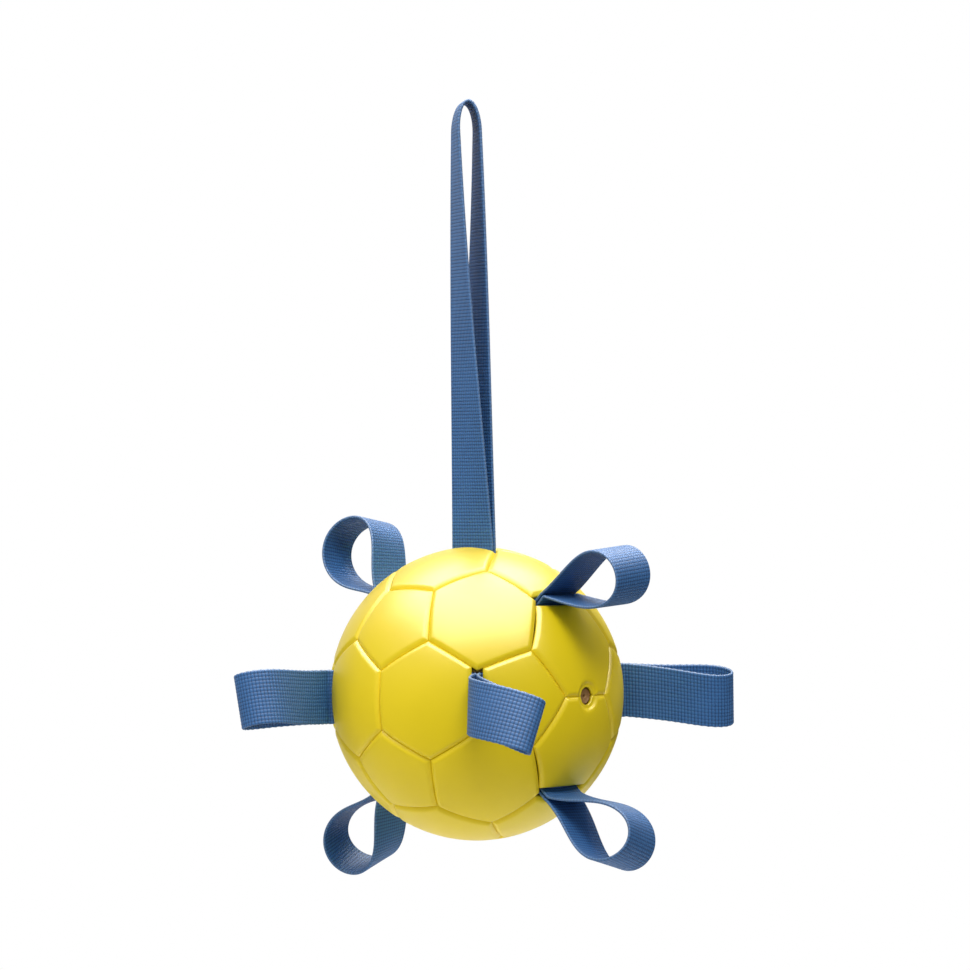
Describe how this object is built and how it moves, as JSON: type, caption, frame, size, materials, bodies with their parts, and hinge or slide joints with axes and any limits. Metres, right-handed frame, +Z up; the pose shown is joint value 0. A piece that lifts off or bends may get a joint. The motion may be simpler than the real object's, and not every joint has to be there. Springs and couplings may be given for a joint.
{
  "type": "dog ball",
  "caption": "Inflatable panelled rubber ball for dogs, with webbing grab tabs caught in its seams and a long webbing loop handle for throwing and tugging.",
  "frame": {"origin": "the point inside the top of the hand loop where a hook or a hand holds the toy", "axes": "+Z up along the hanging handle, +Y along the seam that holds the handle and away from the valve, +X to the right when facing the valve"},
  "size_m": [0.2093, 0.2069, 0.3939],
  "materials": {
    "yellow_rubber": "satin yellow rubber cover panel",
    "blue_webbing": "plain-woven blue webbing",
    "carcass_fabric": "foam-backed fabric layer under the cover",
    "bladder_rubber": "black air-holding rubber",
    "valve_rubber": "tan valve rubber"
  },
  "bodies": {
    "handle": {"handle_loop": "blue_webbing"},
    "ball": {"bladder": "bladder_rubber", "carcass": "carcass_fabric", "handle_root": "blue_webbing", "panel_hex_01": "yellow_rubber", "panel_hex_02": "yellow_rubber", "panel_hex_03": "yellow_rubber", "panel_hex_04": "yellow_rubber", "panel_hex_05": "yellow_rubber", "panel_hex_06": "yellow_rubber", "panel_hex_07": "yellow_rubber", "panel_hex_08": "yellow_rubber", "panel_hex_09": "yellow_rubber", "panel_hex_10": "yellow_rubber", "panel_hex_11": "yellow_rubber", "panel_hex_12": "yellow_rubber", "panel_hex_13": "yellow_rubber", "panel_hex_14": "yellow_rubber", "panel_hex_15": "yellow_rubber", "panel_hex_16": "yellow_rubber", "panel_hex_17": "yellow_rubber", "panel_hex_18": "yellow_rubber", "panel_hex_19": "yellow_rubber", "panel_hex_20": "yellow_rubber", "panel_pent_01": "yellow_rubber", "panel_pent_02": "yellow_rubber", "panel_pent_03": "yellow_rubber", "panel_pent_04": "yellow_rubber", "panel_pent_05": "yellow_rubber", "panel_pent_06": "yellow_rubber", "panel_pent_07": "yellow_rubber", "panel_pent_08": "yellow_rubber", "panel_pent_09": "yellow_rubber", "panel_pent_10": "yellow_rubber", "panel_pent_11": "yellow_rubber", "panel_pent_12": "yellow_rubber", "tab_back_root": "blue_webbing", "tab_front_root": "blue_webbing", "tab_left_root": "blue_webbing", "tab_lower_left_root": "blue_webbing", "tab_lower_right_root": "blue_webbing", "tab_right_root": "blue_webbing", "tab_upper_left_root": "blue_webbing", "tab_upper_right_root": "blue_webbing", "valve_core": "valve_rubber", "valve_housing": "bladder_rubber"},
    "tab_front": {"tab_front_loop": "blue_webbing"},
    "tab_right": {"tab_right_loop": "blue_webbing"},
    "tab_left": {"tab_left_loop": "blue_webbing"},
    "tab_back": {"tab_back_loop": "blue_webbing"},
    "tab_upper_right": {"tab_upper_right_loop": "blue_webbing"},
    "tab_lower_right": {"tab_lower_right_loop": "blue_webbing"},
    "tab_upper_left": {"tab_upper_left_loop": "blue_webbing"},
    "tab_lower_left": {"tab_lower_left_loop": "blue_webbing"}
  },
  "joints": [
    {"name": "ball_swing", "type": "hinge", "parent": "handle", "child": "ball", "pos_m": [0, 0, -0.222], "axis": [0, 1, 0], "range_deg": [-60, 60]},
    {"name": "tab_front_flex", "type": "hinge", "parent": "ball", "child": "tab_front", "pos_m": [-0.05665, -0.05067, -0.298], "axis": [0, 0, 1], "range_deg": [-83, 37], "stiffness_Nm_per_rad": 0.06},
    {"name": "tab_right_flex", "type": "hinge", "parent": "ball", "child": "tab_right", "pos_m": [0.05665, -0.05067, -0.298], "axis": [0, 0, 1], "range_deg": [-52, 68], "stiffness_Nm_per_rad": 0.06},
    {"name": "tab_left_flex", "type": "hinge", "parent": "ball", "child": "tab_left", "pos_m": [-0.05665, 0.05067, -0.298], "axis": [0, 0, 1], "range_deg": [-95, 25], "stiffness_Nm_per_rad": 0.06},
    {"name": "tab_back_flex", "type": "hinge", "parent": "ball", "child": "tab_back", "pos_m": [0.05665, 0.05067, -0.298], "axis": [0, 0, 1], "range_deg": [-60, 60], "stiffness_Nm_per_rad": 0.06},
    {"name": "tab_upper_right_flex", "type": "hinge", "parent": "ball", "child": "tab_upper_right", "pos_m": [0, -0.05665, -0.24733], "axis": [1, 0, 0], "range_deg": [-87, 33], "stiffness_Nm_per_rad": 0.06},
    {"name": "tab_lower_right_flex", "type": "hinge", "parent": "ball", "child": "tab_lower_right", "pos_m": [0, -0.05665, -0.34867], "axis": [1, 0, 0], "range_deg": [-49, 71], "stiffness_Nm_per_rad": 0.06},
    {"name": "tab_upper_left_flex", "type": "hinge", "parent": "ball", "child": "tab_upper_left", "pos_m": [0, 0.05665, -0.24733], "axis": [1, 0, 0], "range_deg": [-60, 60], "stiffness_Nm_per_rad": 0.06},
    {"name": "tab_lower_left_flex", "type": "hinge", "parent": "ball", "child": "tab_lower_left", "pos_m": [0, 0.05665, -0.34867], "axis": [1, 0, 0], "range_deg": [-55, 65], "stiffness_Nm_per_rad": 0.06}
  ]
}
